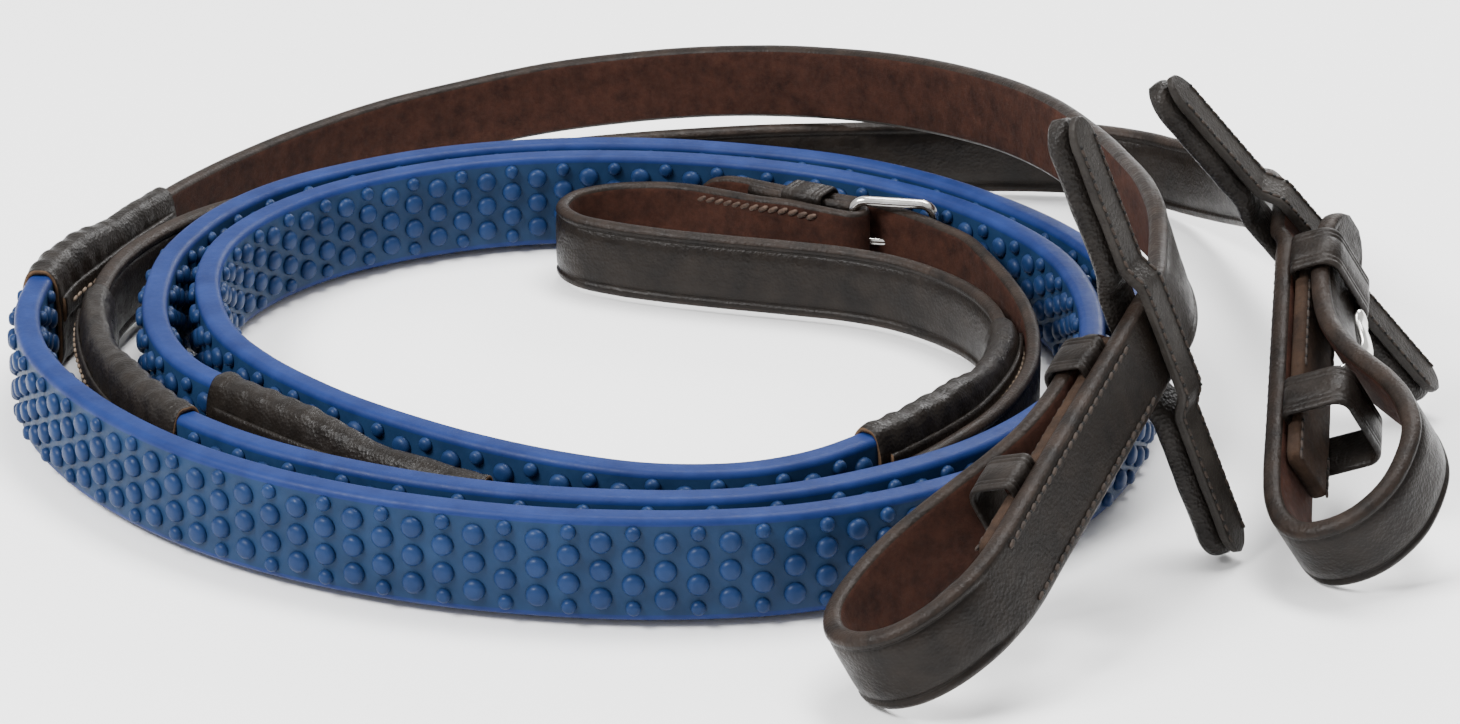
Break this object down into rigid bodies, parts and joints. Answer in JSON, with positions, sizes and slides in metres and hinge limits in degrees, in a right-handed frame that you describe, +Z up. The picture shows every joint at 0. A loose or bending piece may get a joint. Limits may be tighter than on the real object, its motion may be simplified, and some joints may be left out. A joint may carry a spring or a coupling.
{
  "type": "leather reins",
  "caption": "Riding reins coiled on edge: dark leather straps with pimpled rubber hand grips, hook stud bit ends with keepers, sewn sleeves, rein stops, centre buckle.",
  "frame": {"origin": "centre of the bounding box at floor level", "axes": "+Z up, the coil stands on edge on z = 0; -Y faces the camera side with the bit ends at front right"},
  "size_m": [0.2786, 0.2768, 0.0847],
  "materials": {
    "leather_bit_strap": "waxed havana bridle leather, rounded edges, suede flesh side",
    "leather_centre": "waxed havana bridle leather",
    "leather_chape": "stitched leather strip",
    "leather_keeper": "leather loop with two pressed lines",
    "leather_sleeve": "soft glazed leather, sewn seam",
    "leather_stop": "rolled padded leather",
    "leather_stop_face": "flat stitched leather",
    "blue_rubber": "satin, moulded pimples",
    "core_webbing": "woven webbing",
    "nickel_steel": "polished nickel plate"
  },
  "bodies": {
    "coiled_reins": {"front_bit_strap": "leather_bit_strap", "front_rubber_grip": "blue_rubber", "front_grip_core": "core_webbing", "front_chape": "leather_chape", "front_upper_keeper": "leather_keeper", "front_lower_keeper": "leather_keeper", "front_hook_stud": "nickel_steel", "front_bit_sleeve": "leather_sleeve", "front_centre_sleeve": "leather_sleeve", "right_bit_strap": "leather_bit_strap", "right_rubber_grip": "blue_rubber", "right_grip_core": "core_webbing", "right_chape": "leather_chape", "right_upper_keeper": "leather_keeper", "right_lower_keeper": "leather_keeper", "right_hook_stud": "nickel_steel", "right_bit_sleeve": "leather_sleeve", "right_centre_sleeve": "leather_sleeve", "centre_point_strap": "leather_centre", "centre_buckle_strap": "leather_centre", "centre_keeper": "leather_keeper"},
    "centre_frame": {"centre_buckle_frame": "nickel_steel"},
    "centre_tongue": {"centre_buckle_tongue": "nickel_steel"},
    "front_stop": {"front_rein_stop_pad": "leather_stop", "front_rein_stop_face": "leather_stop_face"},
    "right_stop": {"right_rein_stop_pad": "leather_stop", "right_rein_stop_face": "leather_stop_face"}
  },
  "joints": [
    {"name": "centre_frame_hinge", "type": "hinge", "parent": "coiled_reins", "child": "centre_frame", "pos_m": [0.02611, 0.05789, 0.01231], "axis": [0, 0, 1], "range_deg": [-2, 2]},
    {"name": "centre_tongue_hinge", "type": "hinge", "parent": "centre_frame", "child": "centre_tongue", "pos_m": [0.02611, 0.05789, 0.01231], "axis": [0, 0, 1], "range_deg": [0, 1]},
    {"name": "front_stop_slide", "type": "slide", "parent": "coiled_reins", "child": "front_stop", "axis": [0.4201, 0.8503, 0.3171], "range_m": [-0.0005, 0.005]},
    {"name": "right_stop_slide", "type": "slide", "parent": "coiled_reins", "child": "right_stop", "axis": [0.1177, 0.8999, 0.4199], "range_m": [-0.0005, 0.001]}
  ]
}
